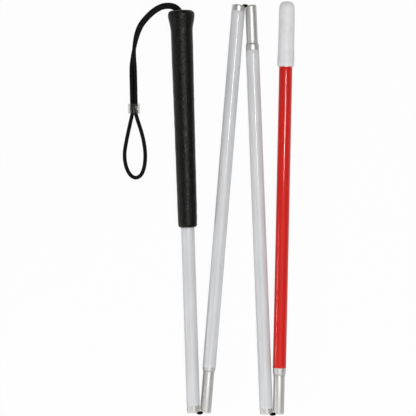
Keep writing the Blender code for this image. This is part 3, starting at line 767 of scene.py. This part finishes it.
def elastic_route(fold, parent, child, place, proud):
    """The elastic's run inside the socket, its loop as far as the fold, and the rest.

    Each is a list of points in metres and shares of the full thickness.
    """
    at = Vector(JOINTS[fold + "_hinge"]["pos_m"])
    (socket, into_socket), (insert, into_insert) = (mouth(section, place) for section in (parent, child))
    side = (insert - socket).normalized()
    out = -(into_socket + into_insert).normalized()
    half = (insert - socket).length / 2 / MM
    # Its radius where it is pressed on a rim and where it turns, and how far it stays off the
    # wall of a bore and how much higher it turns than it crosses the rims, in millimetres
    rim, turn, clear, rise = 0.95, 1.35, 0.1, 0.7
    tube_bore = bpy.context.scene.cane_sizes.tube_bore / MM
    left, right = -half + tube_bore - clear - rim, half - INSERT_BORE + clear + rim

    def leg(end, into, near, axis):
        """From the middle of a tube to the near side of its mouth, thinner on the last 8 mm."""
        return [(end + into * depth * MM + side * (near - axis) * (1 - depth / ELASTIC_REACH) * MM,
                 (rim + (ELASTIC_RADIUS - rim) * min(1, depth / 8)) / ELASTIC_RADIUS)
                for depth in (ELASTIC_REACH, 29, 24, 19, 14, 11, 8, 6, 4, 3, 2, 1)]

    def over_rim(near):
        """A quarter turn from a bore's near side up to the fold's middle, with a ball on its end."""
        strand, steps = [], 8
        for i in range(steps + 1):
            a = math.radians(90 * i / steps)
            bulge = math.sin(a) ** 0.8
            point = at + (side * near * math.cos(a) + out * (proud + rise * (bulge - 1))) * MM
            strand.append((point, (rim + (turn - rim) * bulge) / ELASTIC_RADIUS))
        top = strand[-1][0]
        way = side if near < 0 else -side
        for a in (25, 50, 70, 90):
            a = math.radians(a)
            strand.append((top + way * turn * math.sin(a) * MM, max(0.02, turn / ELASTIC_RADIUS * math.cos(a))))
        return strand

    socket_leg = leg(socket, into_socket, left, -half)
    insert_leg = leg(insert, into_insert, right, half)
    return socket_leg, [*socket_leg[-2:], *over_rim(left)], [*insert_leg, *over_rim(right)]


class CANE_OT_inner_pieces(bpy.types.Operator):
    """Tie the wrist cord's knot and finish the plugs, knots and elastic inside the tubes"""

    bl_idname = "cane.inner_pieces"
    bl_label = "Knots and plugs"

    def execute(self, context):
        # The knot's coil lies 11.15 mm under the top of the grip and is slimmer at both ends
        place = section_matrix("handle_section")
        low = SECTIONS["handle_section"][2] - 11.15
        width, height, turns, steps = 2.9, 2.9, 1.6, 60
        points = []
        for t in (i / steps for i in range(steps + 1)):
            a = math.tau * turns * t
            radius = width * (1 - 0.3 * abs(2 * t - 1) ** 3)
            points.append(place @ (Vector((radius * math.cos(a), radius * math.sin(a), low + height * t)) * MM))
        knot = cord_curve("wrist_cord_knot_tied", points, 0.00145, "braided_black_cord")
        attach(knot, "handle_section")
        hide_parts("wrist_cord_knot")
        finishes = {
            "moulded_polypropylene": ["handle_end_plug", "tip_anchor_plug"],
            "braided_black_elastic": ["elastic_handle_knot", "elastic_in_handle", "elastic_in_section_2",
                                      "elastic_in_section_3", "elastic_in_tip_section", "elastic_tip_knot"],
        }
        for material, nodes in finishes.items():
            for node in nodes:
                mesh = frame["nodes"][node].data
                mesh.materials.clear()
                mesh.materials.append(cane_material(material))
        return {"FINISHED"}


class CANE_OT_stage(bpy.types.Operator):
    """Lay the pale table and set the soft lights"""

    bl_idname = "cane.stage"
    bl_label = "Studio"

    def execute(self, context):
        make_table(context)
        soft_light("overhead_softbox", (0.16, 0.158, 1.0), (0.16, 0.158, 0.0), (0.15, 0.243), 5.4)
        soft_light("overhead_fill", (0.0, -0.55, 1.6), (0.0, -0.1, 0.0), (1.8, 1.2), 2.5)
        soft_light("front_fill", (0.0, -0.8, 0.5), (0.0, -0.1, 0.0), (1.0, 0.5), 2.2)
        soft_light("left_fill", (-0.3, -0.34, 0.18), (0.0, -0.15, 0.0), (0.2, 0.2), 0.3)
        soft_light("right_fill", (0.3, -0.34, 0.2), (0.0, -0.15, 0.0), (0.2, 0.2), 0.15)
        soft_light("left_strip", (-0.95, -0.125, 0.33), (0.0, -0.125, 0.0), (0.25, 0.05), 1.2)
        make_world(context)
        context.scene.view_settings.view_transform = "Standard"
        return {"FINISHED"}


def make_table(context):
    """The table's top, 8 m across and 0.2 mm under the cane."""
    bm = bmesh.new()
    bmesh.ops.create_grid(bm, x_segments=8, y_segments=8, size=4.0)
    bmesh.ops.translate(bm, vec=(0, 0, -0.2 * MM), verts=bm.verts)
    mesh = bpy.data.meshes.new("table")
    bm.to_mesh(mesh)
    bm.free()
    # Matt painted board. It is lifted to white where the camera, or a mirror-like or clear
    # surface, looks at it, and keeps a part of its own shading, which holds the cane's shadow.
    material, shader = surface("matt_white_board", Base_Color=shade(context.scene.cane_colours.table, 1),
                               Roughness=0.9, IOR=1.3)
    path = add_node(material, "LightPath")
    seen = add_node(material, "Math", [(0, path, "Is Camera Ray"), (1, path, "Is Glossy Ray")],
                    operation="MAXIMUM")
    seen = add_node(material, "Math", [(0, seen, 0), (1, path, "Is Transmission Ray")], operation="MAXIMUM")
    lifted = add_node(material, "Math", [(0, seen, 0)], operation="MULTIPLY", i1=0.95)
    glow = add_node(material, "Emission", Color=(1, 1, 1, 1))
    add_node(material, "MixShader", [(0, lifted, 0), (1, shader, 0), (2, glow, 0)],
             [(0, material.node_tree.nodes["Material Output"], "Surface")])
    mesh.materials.append(material)
    table = bpy.data.objects.new("table", mesh)
    context.scene.collection.objects.link(table)
    return table


def soft_light(name, at, towards, size, power):
    """A rectangular light at a place in metres, turned to another, with its size and watts."""
    data = bpy.data.lights.new(name, "AREA")
    data.shape = "RECTANGLE"
    data.size, data.size_y = size
    data.energy = power
    light = bpy.data.objects.new(name, data)
    light.location = at
    light.rotation_euler = (Vector(at) - Vector(towards)).to_track_quat("Z", "Y").to_euler()
    bpy.context.scene.collection.objects.link(light)


def make_world(context):
    """White beyond the table where the camera looks, and a faint even light on the cane."""
    world = bpy.data.worlds.new("studio_air")
    world.use_nodes = True
    background = world.node_tree.nodes["Background"]
    background.inputs["Color"].default_value = (1, 1, 1, 1)
    path = add_node(world, "LightPath")
    add_node(world, "MapRange", [("Value", path, "Is Camera Ray")], [("Result", background, "Strength")], To_Min=0.13)
    context.scene.world = world


class CANE_PT_panel(bpy.types.Panel):
    """Lists the cane's pieces in the order they are made"""

    bl_idname = "CANE_PT_panel"
    bl_label = "White cane"
    bl_space_type = "VIEW_3D"
    bl_region_type = "UI"
    bl_category = "White Cane"

    def draw(self, context):
        for group in (context.scene.cane_sizes, context.scene.cane_colours):
            box = self.layout.box()
            for name in group.__annotations__:
                box.prop(group, name)
        for operator in OPERATORS:
            self.layout.operator(operator.bl_idname)


OPERATORS = (
    CANE_OT_camera,
    CANE_OT_wrist_cord,
    CANE_OT_grip,
    CANE_OT_tubes,
    CANE_OT_inserts,
    CANE_OT_tapes,
    CANE_OT_pencil_tip,
    CANE_OT_elastic,
    CANE_OT_inner_pieces,
    CANE_OT_stage,
)
CLASSES = (CaneSizes, CaneColours, *OPERATORS, CANE_PT_panel)


def register():
    for cls in CLASSES:
        bpy.utils.register_class(cls)
    bpy.types.Scene.cane_sizes = PointerProperty(type=CaneSizes)
    bpy.types.Scene.cane_colours = PointerProperty(type=CaneColours)


def unregister():
    del bpy.types.Scene.cane_colours
    del bpy.types.Scene.cane_sizes
    for cls in reversed(CLASSES):
        bpy.utils.unregister_class(cls)


def main():
    register()
    bpy.ops.cane.camera()
    bpy.ops.cane.wrist_cord()
    bpy.ops.cane.grip()
    bpy.ops.cane.tubes()
    bpy.ops.cane.inserts()
    bpy.ops.cane.tapes()
    bpy.ops.cane.pencil_tip()
    bpy.ops.cane.elastic()
    bpy.ops.cane.inner_pieces()
    bpy.ops.cane.stage()


if __name__ == "__main__":
    main()
